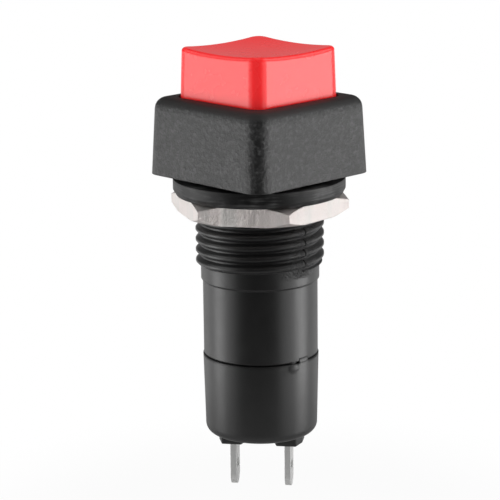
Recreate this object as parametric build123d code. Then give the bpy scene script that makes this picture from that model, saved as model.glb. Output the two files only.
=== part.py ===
from build123d import *
from math import ceil, cos, radians, sin, tan
import os

# Square-headed panel pushbutton switch, in millimetres. The origin is on the axis at the
# underside of the head, where it seats on the panel, and +Z points out of the panel.

# Head and barrel moulding
head_side = 15.0
head_height = 7.16
head_draft = 2.5
head_corner_radius = 1.6
head_rim_radius = 1.12
guide_floor = 1.6
barrel_length = 17.22
barrel_wall = 0.88
neck_step = 0.165
neck_bottom = 10.1
bore_lead_in = 0.3
seam_chamfer = 0.12

# Panel thread, right-handed
thread_radius = 6.0
thread_pitch = 1.0
thread_length = 8.62
thread_start = 0.165
thread_depth = 0.45
thread_crest_width = 0.18
thread_bevel_depth = 0.12
thread_bevel_width = 0.14
thread_flank_angle = 30.0
thread_foot_share = 0.48
thread_foot_sink = 0.03
thread_run_out = 0.3
thread_clearance = 0.08
parting_width = 0.14
parting_web = 0.02

# Button cap
cap_side = 10.82
cap_draft = 1.5
cap_rise = 4.66
cap_corner_radius = 1.2
cap_edge_radius = 0.35
cap_dish_radius = 45.0
cap_dish_depth = 0.58
cap_wall = 1.0
cap_roof = 0.95
cap_clearance = 0.12
cap_boss_wall = 0.9
cap_boss_lift = 1.6

# Plunger
button_travel = 2.5
travel_margin = 0.3
stop_gap = 0.05
guide_radius = 3.0
guide_clearance = 0.05
stem_radius = 2.3
stem_fit = 0.02
stem_end_gap = 0.2
flange_thickness = 1.2
flange_clearance = 0.15
plunger_core_radius = 1.3
plunger_core_web = 1.5
tongue_half_thickness = 0.75
tongue_half_width = 2.6
foot_thickness = 0.8
chamber_radius = 1.35
chamber_depth = 4.2

# Base and its terminal bosses
base_length = 7.78
base_rim_step = 0.07
base_taper = 0.18
base_edge_radius = 0.85
base_wall = 1.7
base_floor = 1.95
spigot_height = 3.6
spigot_clearance = 0.03
seam_groove_height = 0.08
seam_groove_depth = 0.25
boss_height = 1.1
boss_half_length = 1.4
boss_half_depth = 1.95
boss_chamfer_length = 0.45
boss_chamfer_depth = 1.3
boss_edge_radius = 0.15
well_clearance = 0.25

# Key that turns the base the right way in the barrel, and the pry slot beside it
key_angle = 3.0
key_width = 1.15
key_height = 0.3
key_clearance = 0.03
slot_width = 1.9
slot_height = 0.15
slot_depth = 0.35
bulge_angle = -10.5
bulge_drop = 0.42
bulge_size = (0.2, 0.62, 0.55)

# Terminals, on a line through the axis
terminal_angle = 36.6
terminal_half_spacing = 2.61
terminal_thickness = 0.55
terminal_width = 2.1
terminal_reach = 5.56
terminal_bend_radius = 0.15
terminal_slot_clearance = 0.04
solder_hole_radius = 0.45
solder_hole_above_tip = 2.1
tab_inner = 1.05

# Contacts
contact_half_spacing = 1.7
contact_radius = 0.55
contact_height = 0.32
contact_dome = 0.1
contact_shank_radius = 0.3
contact_gap = 1.8
rest_clearance = 0.02
bridge_thickness = 0.4
bridge_width = 2.2
bridge_end_margin = 0.15
bridge_side_clearance = 0.15
bridge_top_clearance = 0.3

# Springs
return_spring_wire = 0.44
return_spring_turns = 5.0
return_spring_outer_gap = 0.38
return_spring_inner_gap = 0.53
contact_spring_wire = 0.26
contact_spring_turns = 5.0
contact_spring_gap = 0.17
wire_facets = 8

# Sealing washer and hexagon nut
washer_width = 1.88
washer_bore_clearance = 0.15
washer_gap = 0.35
washer_thickness = 1.47
washer_chamfer_width = 0.25
washer_chamfer_height = 0.45
nut_flat_wall = 1.3
nut_thickness = 1.75
nut_turn = 34.0
nut_chamfer_angle = 30.0
nut_chamfer_width = 0.85
nut_countersink_angle = 30.0

# How far a cut runs past what it cuts
cut_over = 1.0

# Levels along the axis
seam_z = -barrel_length
base_bottom_z = seam_z - base_length
boss_bottom_z = base_bottom_z - boss_height
floor_top_z = base_bottom_z + base_floor
spigot_top_z = seam_z + spigot_height
tip_z = base_bottom_z - terminal_reach
tab_top_z = floor_top_z + terminal_thickness
fixed_contact_z = tab_top_z + contact_height
moving_contact_z = fixed_contact_z + contact_gap + rest_clearance
bridge_bottom_z = moving_contact_z + contact_height
bridge_top_z = bridge_bottom_z + bridge_thickness
window_bottom_z = bridge_bottom_z - rest_clearance
foot_bottom_z = window_bottom_z - foot_thickness
over_travel = button_travel - contact_gap
window_top_z = bridge_top_z + over_travel + bridge_top_clearance
chamber_top_z = window_top_z + chamber_depth
well_bottom_z = foot_bottom_z - button_travel - well_clearance
flange_top_z = -stop_gap
flange_bottom_z = flange_top_z - flange_thickness
skirt_z = guide_floor + button_travel + travel_margin
boss_seat_z = skirt_z + cap_boss_lift
cap_corner_z = head_height + cap_rise
dish_z = cap_corner_z - cap_dish_depth
roof_z = dish_z - cap_roof
stem_top_z = roof_z - stem_end_gap
washer_top_z = -washer_gap
washer_bottom_z = washer_top_z - washer_thickness
nut_top_z = washer_bottom_z - rest_clearance
nut_bottom_z = nut_top_z - nut_thickness

# Sizes worked out from the ones above
neck_radius = thread_radius - thread_depth
barrel_radius = neck_radius - neck_step
barrel_bore_radius = barrel_radius - barrel_wall
base_rim_radius = barrel_radius + base_rim_step
base_bottom_radius = base_rim_radius - base_taper
spigot_radius = barrel_bore_radius - spigot_clearance
return_spring_radius = barrel_bore_radius - return_spring_outer_gap - return_spring_wire / 2
plunger_body_radius = return_spring_radius - return_spring_wire / 2 - return_spring_inner_gap
contact_spring_radius = chamber_radius - contact_spring_gap - contact_spring_wire / 2
washer_bore_radius = thread_radius + washer_bore_clearance
washer_outer_radius = washer_bore_radius + washer_width
nut_across_flats = 2 * (thread_radius + nut_flat_wall)
nut_corner_radius = nut_across_flats / 2 / cos(radians(30))
nut_chamfer_radius = nut_corner_radius - nut_chamfer_width
cap_slope = tan(radians(cap_draft))
cap_skirt_side = cap_side + 2 * (head_height - skirt_z) * cap_slope
pocket_side = cap_skirt_side + 2 * cap_clearance
base_bore_radius = base_rim_radius - base_wall
bridge_half_length = contact_half_spacing + contact_radius + bridge_end_margin
thread_shoulder = thread_crest_width / 2 + thread_bevel_width
thread_foot = thread_foot_share * thread_pitch
form_depth = thread_bevel_depth + (thread_foot - thread_shoulder) / tan(radians(thread_flank_angle))
groove_radius = thread_radius + thread_clearance / sin(radians(thread_flank_angle))


def lathe(points):
    """Solid turned about Z from (radius, z) corners."""
    return revolve(Plane.XZ * make_face(Polyline(points, close=True)), Axis.Z)


def disc(radius, bottom_z, top_z, x=0.0, y=0.0):
    return Pos(x, y, bottom_z) * extrude(Circle(radius), top_z - bottom_z)


def block(x_low, x_high, y_low, y_high, z_low, z_high):
    centre = ((x_low + x_high) / 2, (y_low + y_high) / 2, (z_low + z_high) / 2)
    return Pos(*centre) * Box(x_high - x_low, y_high - y_low, z_high - z_low)


def square_frustum(bottom_side, bottom_z, bottom_corner, top_side, top_z, top_corner):
    """Rounded square that tapers from one level to another, as a moulding with draft."""
    lower = Pos(0, 0, bottom_z) * RectangleRounded(bottom_side, bottom_side, bottom_corner)
    upper = Pos(0, 0, top_z) * RectangleRounded(top_side, top_side, top_corner)
    return loft([lower, upper])


def on_terminal_line(shape):
    """Turns what was drawn along X to the line through the two terminals."""
    return Rot(0, 0, terminal_angle) * shape


def helical_ridge(crest_radius, bottom_z, top_z):
    """Thread form swept up the panel helix, whose crest passes +X at thread_start."""
    first = thread_start - ceil((thread_start - bottom_z) / thread_pitch) * thread_pitch
    height = ceil((top_z - first) / thread_pitch) * thread_pitch
    foot_radius = crest_radius - form_depth
    upper_corners = [
        (crest_radius, thread_crest_width / 2),
        (crest_radius - thread_bevel_depth, thread_shoulder),
        (foot_radius, thread_foot),
    ]
    lower_corners = [(radius, -half) for radius, half in reversed(upper_corners)]
    form = Polyline([(radius, first + half) for radius, half in lower_corners + upper_corners], close=True)
    section = Plane.XZ * make_face(form)
    path = Helix(thread_pitch, height, foot_radius, center=(0, 0, first))
    return Part() + Solid.sweep(section.faces()[0].outer_wire(), path=path, is_frenet=True)


def make_thread():
    """Male thread, cut to its length, with a run-out at its lower end."""
    ridge = helical_ridge(thread_radius, -thread_length, 0.0)
    beyond = thread_radius + thread_clearance
    core = barrel_bore_radius
    sleeve = lathe(
        [
            (core, -thread_length - thread_pitch / 2),
            (neck_radius, -thread_length),
            (beyond, -thread_length + thread_run_out),
            (beyond, guide_floor / 2),
            (core, guide_floor / 2),
        ]
    )
    return ridge & sleeve


def make_housing():
    """Head and threaded barrel in one moulding, with the cap's pocket and the plunger's guide."""
    top_side = head_side - 2 * head_height * tan(radians(head_draft))
    head = square_frustum(head_side, 0.0, head_corner_radius, top_side, head_height, head_corner_radius)
    rim = head.faces().sort_by(Axis.Z)[-1].edges()
    head = fillet(rim, head_rim_radius)
    step_z = -neck_bottom
    barrel = lathe(
        [
            (0.0, guide_floor / 2),
            (neck_radius, guide_floor / 2),
            (neck_radius, step_z + neck_step),
            (barrel_radius, step_z),
            (barrel_radius, seam_z + seam_chamfer),
            (barrel_radius - seam_chamfer, seam_z),
            (0.0, seam_z),
        ]
    )
    pocket_corner = cap_corner_radius + cap_clearance
    above = head_height + cut_over
    pocket = square_frustum(pocket_side, guide_floor, pocket_corner, pocket_side, above, pocket_corner)
    bore = lathe(
        [
            (0.0, 0.0),
            (barrel_bore_radius, 0.0),
            (barrel_bore_radius, seam_z + bore_lead_in),
            (barrel_bore_radius + bore_lead_in / 2, seam_z),
            (0.0, seam_z),
        ]
    )
    guide = disc(guide_radius + guide_clearance, -guide_floor, 2 * guide_floor)
    notch = make_key(barrel_radius + cut_over, key_clearance)
    barrel = barrel + make_thread() - make_parting_lines() - notch
    return head + barrel - pocket - bore - guide


def make_parting_lines():
    """Gap through the ridges at +X and -X, where the two halves of the mould met."""
    low = neck_radius + parting_web
    high = thread_radius + cut_over
    half = parting_width / 2
    relief = block(low, high, -half, half, -thread_length, 0.0)
    return relief + Rot(0, 0, 180) * relief


def make_key(outer_radius, clearance):
    """Tab on the base's rim that stands up into the barrel or, with clearance, the notch for it."""
    half = key_width / 2 + clearance
    inner = barrel_bore_radius - clearance
    top_z = seam_z + key_height + clearance
    return Rot(0, 0, key_angle) * block(inner, outer_radius, -half, half, seam_z - seam_groove_height, top_z)


def make_base():
    """Lower cup: a spigot that plugs into the barrel, a floor that holds the terminals, two bosses."""
    rim = base_rim_radius
    groove_z = seam_z - seam_groove_height
    cup = lathe(
        [
            (0.0, base_bottom_z),
            (base_bottom_radius, base_bottom_z),
            (rim, groove_z),
            (rim - seam_groove_depth, groove_z),
            (rim - seam_groove_depth, seam_z),
            (spigot_radius, seam_z),
            (spigot_radius, spigot_top_z - bore_lead_in),
            (barrel_bore_radius - bore_lead_in, spigot_top_z),
            (0.0, spigot_top_z),
        ]
    )
    cup = fillet(cup.edges().group_by(Axis.Z)[0], base_edge_radius)
    cup -= disc(base_bore_radius, floor_top_z, spigot_top_z + cut_over)
    cup += make_boss(1) + make_boss(-1)
    well_x = tongue_half_thickness + well_clearance
    well_y = tongue_half_width + well_clearance
    cup -= block(-well_x, well_x, -well_y, well_y, well_bottom_z, floor_top_z + cut_over)
    slot_x = terminal_thickness / 2 + terminal_slot_clearance
    slot_y = terminal_width / 2 + terminal_slot_clearance
    for side in (1, -1):
        x = side * terminal_half_spacing
        low, high = boss_bottom_z - cut_over, floor_top_z + cut_over
        cup -= block(x - slot_x, x + slot_x, -slot_y, slot_y, low, high)
    return on_terminal_line(cup) + make_key(barrel_radius, 0.0) + make_bulge() - make_pry_slot()


def make_pry_slot():
    """Wedge cut into the rim beside the key, deepest next to it."""
    inner = base_rim_radius - slot_depth
    outer = base_rim_radius + cut_over
    wedge = Polyline([(0.0, 0.0), (0.0, -slot_height), (-slot_width, 0.0)], close=True)
    cutter = Plane.YZ.offset(inner) * make_face(wedge)
    cutter = extrude(cutter, outer - inner)
    return Rot(0, 0, key_angle) * Pos(0, -key_width / 2, seam_z) * cutter


def make_bulge():
    """Low swelling of the wall over the snap catch, under the pry slot."""
    swelling = scale(Sphere(1.0), by=bulge_size)
    return Rot(0, 0, bulge_angle) * Pos(base_rim_radius - bulge_size[0] / 2, 0, seam_z - bulge_drop) * swelling


def make_boss(side):
    """Moulded boss round one terminal's way out, with its corners cut off."""
    flat_x = boss_half_length - boss_chamfer_length
    flat_y = boss_half_depth - boss_chamfer_depth
    corner = [(boss_half_length, flat_y), (flat_x, boss_half_depth)]
    upper = corner + [(-x, y) for x, y in reversed(corner)]
    outline = upper + [(-x, -y) for x, y in upper]
    boss = extrude(make_face(Polyline(outline, close=True)), floor_top_z - boss_bottom_z)
    boss = Pos(side * terminal_half_spacing, 0, boss_bottom_z) * boss
    return fillet(boss.faces().sort_by(Axis.Z)[0].edges(), boss_edge_radius)


def make_cap():
    """Hollow cap with a dished top and a boss that takes the plunger's stem."""
    blank_top = cap_corner_z + cut_over
    top_side = cap_side - 2 * (blank_top - head_height) * cap_slope
    cap = square_frustum(cap_skirt_side, skirt_z, cap_corner_radius, top_side, blank_top, cap_corner_radius)
    cap -= Pos(0, 0, dish_z + cap_dish_radius) * Sphere(cap_dish_radius)
    dish = cap.faces().filter_by(GeomType.SPHERE)[0]
    cap = fillet(dish.edges(), cap_edge_radius)
    inner_skirt = cap_skirt_side - 2 * cap_wall
    inner_top = cap_side - 2 * (roof_z - head_height) * cap_slope - 2 * cap_wall
    inner_corner = cap_corner_radius / 2
    hollow = square_frustum(inner_skirt, skirt_z, inner_corner, inner_top, roof_z, inner_corner)
    boss = disc(stem_radius + cap_boss_wall, boss_seat_z, roof_z + cut_over)
    boss -= disc(stem_radius + stem_fit, boss_seat_z, roof_z + cut_over)
    return cap - (hollow - boss)


def make_plunger():
    """Turned form of the plunger, with a tongue that carries the contact bridge in a window."""
    turned = lathe(
        [
            (0.0, window_top_z),
            (plunger_body_radius, window_top_z),
            (plunger_body_radius, flange_bottom_z),
            (barrel_bore_radius - flange_clearance, flange_bottom_z),
            (barrel_bore_radius - flange_clearance, flange_top_z),
            (guide_radius, flange_top_z),
            (guide_radius, boss_seat_z),
            (stem_radius, boss_seat_z),
            (stem_radius, stem_top_z),
            (0.0, stem_top_z),
        ]
    )
    turned -= disc(plunger_core_radius, chamber_top_z + plunger_core_web, stem_top_z)
    tongue = block(
        -tongue_half_thickness,
        tongue_half_thickness,
        -tongue_half_width,
        tongue_half_width,
        foot_bottom_z,
        window_top_z + flange_thickness,
    )
    window_y = bridge_width / 2 + bridge_side_clearance
    window = block(
        -plunger_body_radius, plunger_body_radius, -window_y, window_y, window_bottom_z, window_top_z
    )
    chamber = disc(chamber_radius, window_top_z - cut_over, chamber_top_z)
    return on_terminal_line(turned + tongue - window - chamber)


def make_spring(radius, wire, turns, bottom_z, top_z):
    """Compression spring between two levels, its round wire drawn with a few flats."""
    start_z = bottom_z + wire / 2 + rest_clearance
    height = top_z - bottom_z - wire - 2 * rest_clearance
    path = Helix(height / turns, height, radius, center=(0, 0, start_z))
    section = Plane(origin=path @ 0, z_dir=path % 0) * RegularPolygon(wire / 2, wire_facets)
    return Part() + Solid.sweep(section.faces()[0].outer_wire(), path=path, is_frenet=True)


def make_terminal(side):
    """Strip blade with a round tip and a solder hole, bent inwards to a tab over the base's floor."""
    outer = terminal_half_spacing + terminal_thickness / 2
    inner = outer - terminal_thickness
    blade_half = terminal_width / 2
    blade = block(inner, outer, -blade_half, blade_half, tip_z, tab_top_z)
    tip_edges = blade.faces().sort_by(Axis.Z)[0].edges().filter_by(Axis.X)
    blade = fillet(tip_edges, blade_half - rest_clearance)
    tab = block(tab_inner, outer, -blade_half, blade_half, floor_top_z, tab_top_z)
    strip = blade + tab
    corner = strip.edges().filter_by(Axis.Y).sort_by(lambda edge: edge.center().X + edge.center().Z)[-1]
    strip = fillet(corner, terminal_thickness + terminal_bend_radius)
    hole = Rot(0, 90, 0) * Cylinder(solder_hole_radius, 4 * terminal_thickness)
    strip -= Pos(terminal_half_spacing, 0, tip_z + solder_hole_above_tip) * hole
    strip -= disc(contact_shank_radius, floor_top_z - cut_over, tab_top_z + cut_over, contact_half_spacing)
    return on_terminal_line(strip if side > 0 else Rot(0, 0, 180) * strip)


def make_rivet(face_z, back_z, side):
    """Contact rivet with a low domed head at face_z and a shank through to back_z."""
    up = 1 if face_z > back_z else -1
    seat_z = face_z - up * contact_height
    profile = [
        (0.0, back_z),
        (contact_shank_radius, back_z),
        (contact_shank_radius, seat_z),
        (contact_radius, seat_z),
        (contact_radius, face_z - up * contact_dome),
        (contact_radius / 2, face_z),
        (0.0, face_z),
    ]
    return on_terminal_line(Pos(side * contact_half_spacing, 0, 0) * lathe(profile))


def make_bridge():
    """Flat contact strip that joins the two moving contacts."""
    strip = extrude(
        Pos(0, 0, bridge_bottom_z) * RectangleRounded(2 * bridge_half_length, bridge_width, bridge_width / 4),
        bridge_thickness,
    )
    for side in (1, -1):
        x = side * contact_half_spacing
        strip -= disc(contact_shank_radius, bridge_bottom_z - cut_over, bridge_top_z + cut_over, x)
    return on_terminal_line(strip)


def make_washer():
    """Moulded rubber ring with a bevelled lower edge, free on the thread."""
    return lathe(
        [
            (washer_bore_radius, washer_bottom_z),
            (washer_outer_radius - washer_chamfer_width, washer_bottom_z),
            (washer_outer_radius, washer_bottom_z + washer_chamfer_height),
            (washer_outer_radius, washer_top_z),
            (washer_bore_radius, washer_top_z),
        ]
    )


def make_nut():
    """Thin hexagon nut, chamfered on both faces, with the matching internal thread."""
    hexagon = RegularPolygon(nut_corner_radius, 6)
    nut = Pos(0, 0, nut_bottom_z) * Rot(0, 0, nut_turn) * extrude(hexagon, nut_thickness)
    beyond = nut_corner_radius + cut_over
    drop = (beyond - nut_chamfer_radius) * tan(radians(nut_chamfer_angle))
    nut &= lathe(
        [
            (0.0, nut_bottom_z),
            (nut_chamfer_radius, nut_bottom_z),
            (beyond, nut_bottom_z + drop),
            (beyond, nut_top_z - drop),
            (nut_chamfer_radius, nut_top_z),
            (0.0, nut_top_z),
        ]
    )
    low = nut_bottom_z - thread_pitch
    high = nut_top_z + thread_pitch
    bore = groove_radius - form_depth + thread_foot_sink
    tap = disc(bore, low, high) + helical_ridge(groove_radius, low, high)
    mouth = groove_radius + thread_foot_sink
    sink = (mouth - bore) * tan(radians(nut_countersink_angle))
    mouth_high = mouth + cut_over
    rise = cut_over * tan(radians(nut_countersink_angle))
    countersinks = lathe(
        [
            (0.0, nut_bottom_z - rise),
            (mouth_high, nut_bottom_z - rise),
            (bore, nut_bottom_z + sink),
            (bore, nut_top_z - sink),
            (mouth_high, nut_top_z + rise),
            (0.0, nut_top_z + rise),
        ]
    )
    return nut - tap - countersinks


pieces = {
    "housing": make_housing(),
    "base": make_base(),
    "button_cap": make_cap(),
    "plunger": make_plunger(),
    "return_spring": make_spring(
        return_spring_radius, return_spring_wire, return_spring_turns, spigot_top_z, flange_bottom_z
    ),
    "contact_spring": make_spring(
        contact_spring_radius, contact_spring_wire, contact_spring_turns, bridge_top_z, chamber_top_z
    ),
    "contact_bridge": make_bridge(),
    "moving_contact_right": make_rivet(moving_contact_z, bridge_top_z, 1),
    "moving_contact_left": make_rivet(moving_contact_z, bridge_top_z, -1),
    "fixed_contact_right": make_rivet(fixed_contact_z, floor_top_z, 1),
    "fixed_contact_left": make_rivet(fixed_contact_z, floor_top_z, -1),
    "terminal_right": make_terminal(1),
    "terminal_left": make_terminal(-1),
    "sealing_washer": make_washer(),
    "hex_nut": make_nut(),
}

os.makedirs("parts", exist_ok=True)
for name, piece in pieces.items():
    export_step(piece, f"parts/{name}.step")
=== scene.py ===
from math import cos, radians, sin

import bpy
from mathutils import Matrix, Vector


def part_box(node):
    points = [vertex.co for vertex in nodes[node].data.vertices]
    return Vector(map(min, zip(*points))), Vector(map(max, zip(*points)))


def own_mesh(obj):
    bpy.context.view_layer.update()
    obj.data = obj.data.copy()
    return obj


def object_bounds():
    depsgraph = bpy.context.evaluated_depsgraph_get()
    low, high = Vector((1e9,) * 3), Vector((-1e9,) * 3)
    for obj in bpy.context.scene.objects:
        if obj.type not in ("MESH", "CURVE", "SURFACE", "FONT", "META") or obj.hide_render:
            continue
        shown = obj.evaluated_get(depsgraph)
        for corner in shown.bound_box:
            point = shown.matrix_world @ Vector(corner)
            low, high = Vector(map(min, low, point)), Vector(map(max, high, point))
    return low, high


# Square-headed pushbutton switch: finishes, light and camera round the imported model, in metres.
# The origin is on the axis at the underside of the head, and +Z points out of the panel.

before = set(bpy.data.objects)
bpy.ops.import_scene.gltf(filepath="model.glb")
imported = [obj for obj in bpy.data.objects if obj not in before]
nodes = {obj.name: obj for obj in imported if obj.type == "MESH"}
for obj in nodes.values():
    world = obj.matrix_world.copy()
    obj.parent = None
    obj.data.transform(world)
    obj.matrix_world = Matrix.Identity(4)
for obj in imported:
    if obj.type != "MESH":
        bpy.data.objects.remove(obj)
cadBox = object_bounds()
mm = 0.001
print("frame loaded:", len(nodes), "nodes")


# Camera, at the photograph's place
camera = {
    "name": "photoCamera",
    "position": (0.139735, -0.136701, 0.040859),
    "aim": (-0.000042, -0.001256, -0.007238),
    "roll": -0.642,
    "focalPixels": 2151.2,
    "picturePixels": 500,
    "sensor": 36.0,
}


def addCamera(values):
    data = bpy.data.cameras.new(values["name"])
    data.sensor_width = values["sensor"]
    data.lens = values["focalPixels"] / values["picturePixels"] * values["sensor"]
    data.clip_start = 0.01
    made = bpy.data.objects.new(values["name"], data)
    bpy.context.scene.collection.objects.link(made)
    place = Vector(values["position"])
    facing = (Vector(values["aim"]) - place).to_track_quat("-Z", "Y").to_matrix().to_4x4()
    turn = Matrix.Rotation(radians(values["roll"]), 4, "Z")
    made.matrix_world = Matrix.Translation(place) @ facing @ turn
    bpy.context.scene.camera = made


addCamera(camera)
print("camera placed")


# Materials are written as sums of sockets
class Wire:
    def __init__(self, tree, socket=None):
        self.tree = tree
        self.socket = socket

    def node(self, kind, settings=None, inputs=None, output=0):
        made = self.tree.nodes.new("ShaderNode" + kind)
        for name, value in (settings or {}).items():
            setattr(made, name, value)
        for name, value in (inputs or {}).items():
            if isinstance(value, Wire):
                self.tree.links.new(value.socket, made.inputs[name])
            else:
                made.inputs[name].default_value = value
        return Wire(self.tree, made.outputs[output] if made.outputs else None)

    def maths(self, operation, *others):
        values = dict(enumerate((self, *others)))
        return self.node("Math", {"operation": operation}, values)

    def __add__(self, other):
        return self.maths("ADD", other)

    def __sub__(self, other):
        return self.maths("SUBTRACT", other)

    def __rsub__(self, other):
        return (self * -1.0) + other

    def __mul__(self, other):
        return self.maths("MULTIPLY", other)

    __radd__ = __add__
    __rmul__ = __mul__


def grey(level):
    return (level, level, level, 1.0)


def openMaterial(name):
    material = bpy.data.materials.new(name)
    material.use_nodes = True
    material.node_tree.nodes.clear()
    return material, Wire(material.node_tree)


def step(start, value, low, high):
    limits = {"From Min": low, "From Max": high}
    return start.node("MapRange", {"interpolation_type": "SMOOTHSTEP"}, {"Value": value, **limits})


def mixColour(start, factor, first, second):
    return start.node("Mix", {"data_type": "RGBA"}, {0: factor, 6: first, 7: second}, output=2)


def objectPlace(start, stretch):
    place = start.node("TexCoord", output=3)
    return start.node("Mapping", {}, {"Vector": place, "Scale": stretch})


def noise(start, size, stretch=(1.0, 1.0, 1.0), detail=2.0, rough=0.5):
    place = objectPlace(start, stretch)
    values = {"Vector": place, "Scale": 1.0 / size, "Detail": detail, "Roughness": rough}
    return start.node("TexNoise", {}, values)


def along(start, vector, axis):
    return start.node("SeparateXYZ", {}, {0: vector}, output="XYZ".index(axis))


def softEdge(start, radius):
    return start.node("Bevel", {"samples": 4}, {"Radius": radius})


# Tilts the normal round the part's axis
def leanSideways(start, under, lean):
    upwards = {0: under, 1: (0.0, 0.0, 1.0)}
    sideways = start.node("VectorMath", {"operation": "CROSS_PRODUCT"}, upwards)
    shift = start.node("VectorMath", {"operation": "SCALE"}, {0: sideways, "Scale": lean})
    leaning = start.node("VectorMath", {"operation": "ADD"}, {0: under, 1: shift})
    return start.node("VectorMath", {"operation": "NORMALIZE"}, {0: leaning})


def bump(start, relief, depth, under=None):
    values = {"Height": relief, "Distance": depth, "Strength": 1.0}
    if under:
        values["Normal"] = under
    return start.node("Bump", {}, values)


def closeMaterial(start, shader):
    start.node("OutputMaterial", {}, {"Surface": shader})


# Black moulding: spark-eroded grain on the head's flanks, satin below, burrs on the thread. The rim is
# plain, and its darker colour without the grain's pale speckle is painted shade under the cap
blackMoulding = {
    "dark": grey(0.003),
    "light": grey(0.006),
    "speckle": grey(0.046),
    "grainSize": 0.42 * mm,
    "grainDepth": 0.120 * mm,
    "grainRoughness": 0.38,
    "grainSpread": 0.06,
    "speckleFrom": 0.45,
    "speckleTo": 0.72,
    "satinRoughness": 0.37,
    "satinSpread": 0.12,
    "scuffSize": 1.6 * mm,
    "scuffDepth": 0.004 * mm,
    "burrSize": 0.24 * mm,
    "burrShare": 1.3,
    "burrHalfWidth": 2.6 * mm,
    "threadEnd": -9.3 * mm,
    "threadFade": 0.6 * mm,
    "headFrom": -0.1 * mm,
    "headFull": 0.05 * mm,
    "edgeRadius": 0.15 * mm,
    "baseEdgeRadius": 0.38 * mm,
    "rimHeight": 0.70 * mm,
    "rimFull": 0.28 * mm,
    "rimRoughness": 0.65,
    "specular": 0.75,
}


def makeBlackMoulding(name, values, isHousing):
    material, start = openMaterial(name)
    scuff = noise(start, values["scuffSize"], detail=4.0)
    satin = values["satinRoughness"] + (scuff - 0.5) * values["satinSpread"]
    edges = softEdge(start, values["edgeRadius" if isHousing else "baseEdgeRadius"])
    shade = mixColour(start, scuff, values["dark"], values["light"])
    if isHousing:
        place = start.node("TexCoord", output=3)
        up = along(start, place, "Z")
        aside = along(start, place, "Y").maths("ABSOLUTE")
        grain = noise(start, values["grainSize"], detail=4.0, rough=0.75)
        burr = noise(start, values["burrSize"], detail=3.0, rough=0.7)
        onHead = step(start, up, values["headFrom"], values["headFull"])
        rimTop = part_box("housing")[1][2]
        rimFrom = rimTop - values["rimHeight"]
        rimFull = rimTop - values["rimFull"]
        # Grain and its pale speckle stop below the rim: the rim's darker colour is painted shade where
        # the cap shadows it
        flankBelowPaintedShadeRim = onHead * (1.0 - step(start, up, rimFrom, rimFull))
        nearParting = 1.0 - step(start, aside, 0.0, values["burrHalfWidth"])
        threadFull = values["threadEnd"] + values["threadFade"]
        onThread = step(start, up, values["threadEnd"], threadFull) * (1.0 - onHead)
        burred = burr * nearParting * onThread
        grained = values["grainRoughness"] + (scuff - 0.5) * values["grainSpread"]
        roughness = satin + (grained - satin) * flankBelowPaintedShadeRim
        roughness = roughness + (values["rimRoughness"] - satin) * (onHead - flankBelowPaintedShadeRim)
        marks = grain * flankBelowPaintedShadeRim + burred
        speckled = step(start, marks, values["speckleFrom"], values["speckleTo"])
        shade = mixColour(start, speckled, shade, values["speckle"])
        relief = marks + burred * values["burrShare"]
        normal = bump(start, relief, values["grainDepth"], edges)
    else:
        roughness = satin
        normal = bump(start, scuff, values["scuffDepth"], edges)
    inputs = {
        "Base Color": shade,
        "Roughness": roughness,
        "Normal": normal,
        "Specular IOR Level": values["specular"],
    }
    closeMaterial(start, start.node("BsdfPrincipled", {}, inputs))
    return material


# Red cap: satin gloss with a faint flow of the moulding
redCap = {
    "deep": (0.86, 0.006, 0.008, 1.0),
    "pale": (0.89, 0.011, 0.014, 1.0),
    "roughness": 0.27,
    "roughnessSpread": 0.04,
    "flowSize": 2.2 * mm,
    "pitSize": 0.35 * mm,
    "pitDepth": 0.002 * mm,
    "edgeRadius": 0.08 * mm,
    "specular": 0.60,
}


def makeRedCap(values):
    material, start = openMaterial("redCap")
    flow = noise(start, values["flowSize"], detail=3.0)
    pits = noise(start, values["pitSize"], detail=2.0)
    inputs = {
        "Base Color": mixColour(start, flow, values["deep"], values["pale"]),
        "Roughness": values["roughness"] + (flow - 0.5) * values["roughnessSpread"],
        "Normal": bump(start, pits, values["pitDepth"], softEdge(start, values["edgeRadius"])),
        "Specular IOR Level": values["specular"],
    }
    closeMaterial(start, start.node("BsdfPrincipled", {}, inputs))
    return material


# Plated nut: fine upright machining lines that spread the light sideways, in faintly warm bands
platedNut = {
    "dark": (0.56, 0.545, 0.525, 1.0),
    "light": (0.72, 0.695, 0.67, 1.0),
    "warm": (0.76, 0.69, 0.67, 1.0),
    "lineSize": 0.006 * mm,
    "streakSize": 0.22 * mm,
    "lineLean": 4.5,
    "streakLean": 0.60,
    "lineStretch": (1.0, 1.0, 0.03),
    "bandSize": 1.5 * mm,
    "bandStretch": (1.0, 1.0, 0.1),
    "bandFrom": 0.30,
    "bandTo": 0.60,
    "warmShare": 0.7,
    "roughness": 0.42,
    "roughnessSpread": 0.2,
    "underRoughness": 0.25,
    "edgeRadius": 0.09 * mm,
}


def makePlatedNut(values):
    material, start = openMaterial("platedNut")
    lines = noise(start, values["lineSize"], stretch=values["lineStretch"], detail=1.0)
    streaks = noise(start, values["streakSize"], stretch=values["lineStretch"], detail=3.0)
    bands = noise(start, values["bandSize"], stretch=values["bandStretch"])
    warmth = step(start, bands, values["bandFrom"], values["bandTo"]) * values["warmShare"]
    plain = mixColour(start, streaks, values["dark"], values["light"])
    lean = (lines - 0.5) * values["lineLean"] + (streaks - 0.5) * values["streakLean"]
    edges = softEdge(start, values["edgeRadius"])
    under = (along(start, edges, "Z") * -1.0).maths("MAXIMUM", 0.0)
    roughness = values["roughness"] + (bands - 0.5) * values["roughnessSpread"]
    inputs = {
        "Base Color": mixColour(start, warmth, plain, values["warm"]),
        "Metallic": 1.0,
        "Roughness": roughness + under * values["underRoughness"],
        "Normal": leanSideways(start, edges, lean),
    }
    closeMaterial(start, start.node("BsdfPrincipled", {}, inputs))
    return material


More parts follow.
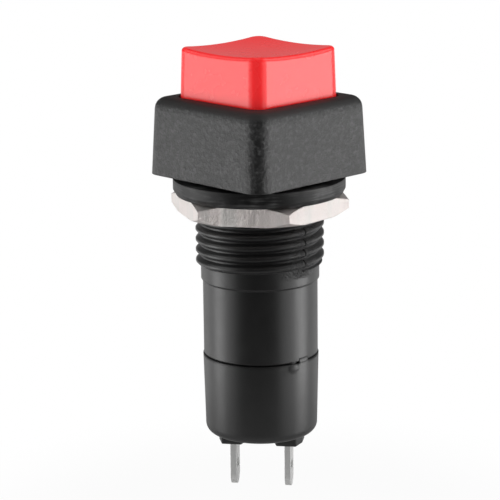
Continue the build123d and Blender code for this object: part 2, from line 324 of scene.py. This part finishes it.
# Rubber washer with fine turned rings and a little dust
washerRubber = {
    "dark": grey(0.001),
    "light": grey(0.042),
    "ringSize": 0.10 * mm,
    "ringStretch": (0.04, 0.04, 1.0),
    "ringDepth": 0.012 * mm,
    "dustSize": 1.4 * mm,
    "dustFrom": 0.22,
    "dustTo": 0.42,
    "roughness": 0.50,
    "roughnessSpread": 0.15,
    "edgeRadius": 0.08 * mm,
}


def makeWasherRubber(values):
    material, start = openMaterial("washerRubber")
    rings = noise(start, values["ringSize"], stretch=values["ringStretch"], detail=3.0)
    dust = noise(start, values["dustSize"], detail=4.0)
    dusty = step(start, rings * dust, values["dustFrom"], values["dustTo"])
    inputs = {
        "Base Color": mixColour(start, dusty, values["dark"], values["light"]),
        "Roughness": values["roughness"] + (dust - 0.5) * values["roughnessSpread"],
        "Normal": bump(start, rings, values["ringDepth"], softEdge(start, values["edgeRadius"])),
    }
    closeMaterial(start, start.node("BsdfPrincipled", {}, inputs))
    return material


# Metals: matt tin on the terminals, drawn spring wire, stamped strip and silver rivets
metals = {
    "tinnedTerminal": {
        "dark": (0.84, 0.84, 0.83, 1.0),
        "light": (0.96, 0.96, 0.95, 1.0),
        "size": 0.35 * mm,
        "stretch": (1.0, 1.0, 0.25),
        "depth": 0.006 * mm,
        "roughness": 0.52,
    },
    "springWire": {
        "dark": (0.42, 0.42, 0.43, 1.0),
        "light": (0.62, 0.62, 0.62, 1.0),
        "size": 0.15 * mm,
        "stretch": (1.0, 1.0, 1.0),
        "depth": 0.002 * mm,
        "roughness": 0.30,
    },
    "contactStrip": {
        "dark": (0.62, 0.42, 0.17, 1.0),
        "light": (0.80, 0.60, 0.30, 1.0),
        "size": 0.30 * mm,
        "stretch": (0.2, 1.0, 1.0),
        "depth": 0.003 * mm,
        "roughness": 0.32,
    },
    "contactRivet": {
        "dark": (0.70, 0.69, 0.66, 1.0),
        "light": (0.88, 0.87, 0.85, 1.0),
        "size": 0.20 * mm,
        "stretch": (1.0, 1.0, 1.0),
        "depth": 0.003 * mm,
        "roughness": 0.28,
    },
}

metalWear = {
    "edgeRadius": 0.05 * mm,
    "roughnessSpread": 0.25,
}


def makeMetal(name):
    values = metals[name]
    material, start = openMaterial(name)
    marks = noise(start, values["size"], stretch=values["stretch"], detail=4.0)
    inputs = {
        "Base Color": mixColour(start, marks, values["dark"], values["light"]),
        "Metallic": 1.0,
        "Roughness": values["roughness"] + (marks - 0.5) * metalWear["roughnessSpread"],
        "Normal": bump(start, marks, values["depth"], softEdge(start, metalWear["edgeRadius"])),
    }
    closeMaterial(start, start.node("BsdfPrincipled", {}, inputs))
    return material


# White inner moulding of the plunger
whiteMoulding = {
    "dark": (0.70, 0.69, 0.65, 1.0),
    "light": (0.80, 0.79, 0.76, 1.0),
    "flowSize": 1.8 * mm,
    "flowDepth": 0.004 * mm,
    "roughness": 0.42,
    "roughnessSpread": 0.1,
}


def makeWhiteMoulding(values):
    material, start = openMaterial("whiteMoulding")
    flow = noise(start, values["flowSize"], detail=3.0)
    inputs = {
        "Base Color": mixColour(start, flow, values["dark"], values["light"]),
        "Roughness": values["roughness"] + (flow - 0.5) * values["roughnessSpread"],
        "Normal": bump(start, flow, values["flowDepth"]),
    }
    closeMaterial(start, start.node("BsdfPrincipled", {}, inputs))
    return material


def dress(material, *names):
    for name in names:
        slots = nodes[name].data.materials
        slots.clear()
        slots.append(material)


dress(makeBlackMoulding("blackMouldingGrained", blackMoulding, True), "housing")
dress(makeBlackMoulding("blackMouldingSatin", blackMoulding, False), "base")
dress(makeRedCap(redCap), "button_cap")
dress(makePlatedNut(platedNut), "hex_nut")
dress(makeWasherRubber(washerRubber), "sealing_washer")
dress(makeWhiteMoulding(whiteMoulding), "plunger")
dress(makeMetal("tinnedTerminal"), "terminal_right", "terminal_left")
dress(makeMetal("springWire"), "return_spring", "contact_spring")
dress(makeMetal("contactStrip"), "contact_bridge")
dress(
    makeMetal("contactRivet"),
    "moving_contact_right",
    "moving_contact_left",
    "fixed_contact_right",
    "fixed_contact_left",
)
print("finishes on all nodes")


# Each spring gets a mesh of its own; the table gives its joint, its travel and whether its top end is
# fixed
springs = {
    "return_spring": {"joint": "button_press", "travel": 2.5 * mm, "fixedAtTop": False},
    "contact_spring": {"joint": "bridge_lag", "travel": 0.7 * mm, "fixedAtTop": True},
}


def shortenSpring(name):
    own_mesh(nodes[name])


for springName, springValues in springs.items():
    shortenSpring(springName)


# Floor, a small round white table a little below the terminals, that fades out into the white
floor = {
    "radius": 0.042,
    "gap": 5.0 * mm,
    "sides": 128,
    "colour": grey(0.4),
    "whiteToCamera": 0.94,
    "fadeStart": 0.018,
    "fadeEnd": 0.039,
}


def addFloor(values):
    level = cadBox[0].z - values["gap"]
    bpy.ops.object.select_all(action="DESELECT")
    bpy.ops.mesh.primitive_circle_add(vertices=values["sides"], radius=values["radius"], fill_type="NGON")
    made = bpy.context.object
    made.location.z = level
    made.name = "floor"
    material, start = openMaterial("floorPaper")
    paper = start.node("BsdfDiffuse", {}, {"Color": values["colour"]})
    place = start.node("TexCoord", output=3)
    across = start.node("VectorMath", {"operation": "LENGTH"}, {0: place}, output=1)
    fade = step(start, across, values["fadeStart"], values["fadeEnd"])
    white = values["whiteToCamera"] + fade * (1.0 - values["whiteToCamera"])
    seen = start.node("LightPath", output="Is Camera Ray") * white
    bright = start.node("Emission", {}, {"Color": grey(1.0), "Strength": 1.0})
    closeMaterial(start, start.node("MixShader", {}, {0: seen, 1: paper, 2: bright}))
    made.data.materials.append(material)


# Studio: low soft boxes along both sides, high ones over them, one overhead and a weak one behind.
# A box's turn is counted from the camera, in degrees.
cameraAzimuth = -44.37
sideSize = (0.11, 0.19)
panelSize = (0.20, 0.15)
narrowSize = (0.09, 0.15)
wideSize = (0.14, 0.15)
softBoxes = {
    "leftFront": {"turn": -62.0, "elevation": -10.0, "size": narrowSize, "radiance": 0.85},
    "leftSide": {"turn": -89.0, "elevation": -12.0, "size": sideSize, "radiance": 2.6},
    "leftRear": {"turn": -117.0, "elevation": -10.0, "size": panelSize, "radiance": 0.6},
    "leftHigh": {"turn": -90.0, "elevation": 38.0, "size": panelSize, "radiance": 1.0},
    "rightFront": {"turn": 56.0, "elevation": -10.0, "size": wideSize, "radiance": 0.95},
    "rightSide": {"turn": 88.0, "elevation": -12.0, "size": sideSize, "radiance": 3.5},
    "rightRear": {"turn": 117.0, "elevation": -10.0, "size": panelSize, "radiance": 0.4},
    "rightHigh": {"turn": 90.0, "elevation": 38.0, "size": panelSize, "radiance": 1.6},
    "overhead": {"turn": 0.0, "elevation": 88.0, "size": (0.14, 0.14), "radiance": 0.7},
    "behind": {"turn": 180.0, "elevation": 12.0, "size": (0.18, 0.16), "radiance": 0.1},
}
studio = {
    "distance": 0.26,
    "middle": (0.0, 0.0, -0.010),
    "wattsPerRadiance": 4.0,
    "ambient": 0.80,
    "frontGloss": 0.03,
    "highGloss": 0.16,
    "backdropGloss": 0.7,
    "horizonFrom": -0.04,
    "horizonTo": 0.06,
    "frontFrom": -0.9,
    "frontTo": -0.3,
}


def addSoftBox(name, values):
    data = bpy.data.lights.new(name, "AREA")
    data.shape = "RECTANGLE"
    data.size, data.size_y = values["size"]
    data.energy = values["radiance"] * studio["wattsPerRadiance"] * data.size * data.size_y
    made = bpy.data.objects.new(name, data)
    made.visible_camera = False
    bpy.context.scene.collection.objects.link(made)
    azimuth = radians(cameraAzimuth + values["turn"])
    elevation = radians(values["elevation"])
    flat = cos(elevation)
    outwards = Vector((flat * cos(azimuth), flat * sin(azimuth), sin(elevation)))
    place = Vector(studio["middle"]) + outwards * studio["distance"]
    made.matrix_world = Matrix.Translation(place) @ outwards.to_track_quat("Z", "Y").to_matrix().to_4x4()


# Reflected rays see the pale backdrop behind and below, and a dark room in front
def setWorld(values):
    world = bpy.data.worlds.new("studio")
    world.use_nodes = True
    bpy.context.scene.world = world
    world.node_tree.nodes.clear()
    start = Wire(world.node_tree)
    azimuth = radians(cameraAzimuth)
    direction = start.node("TexCoord", output=0)
    towards = {0: direction, 1: (cos(azimuth), sin(azimuth), 0.0)}
    frontness = start.node("VectorMath", {"operation": "DOT_PRODUCT"}, towards, output=1)
    high = step(start, along(start, direction, "Z"), values["horizonFrom"], values["horizonTo"])
    front = step(start, frontness, values["frontFrom"], values["frontTo"])
    back = values["backdropGloss"] + high * (values["highGloss"] - values["backdropGloss"])
    gloss = back + front * (values["frontGloss"] - back)
    isGlossy = start.node("LightPath", output="Is Glossy Ray")
    isCamera = start.node("LightPath", output="Is Camera Ray")
    level = values["ambient"] + (gloss - values["ambient"]) * isGlossy
    level = level + (1.0 - level) * isCamera
    lit = start.node("Background", {}, {"Color": grey(1.0), "Strength": level})
    start.node("OutputWorld", {}, {"Surface": lit})


addFloor(floor)
for boxName, boxValues in softBoxes.items():
    addSoftBox(boxName, boxValues)
setWorld(studio)
bpy.context.scene.view_settings.view_transform = "Standard"
print("studio lit")
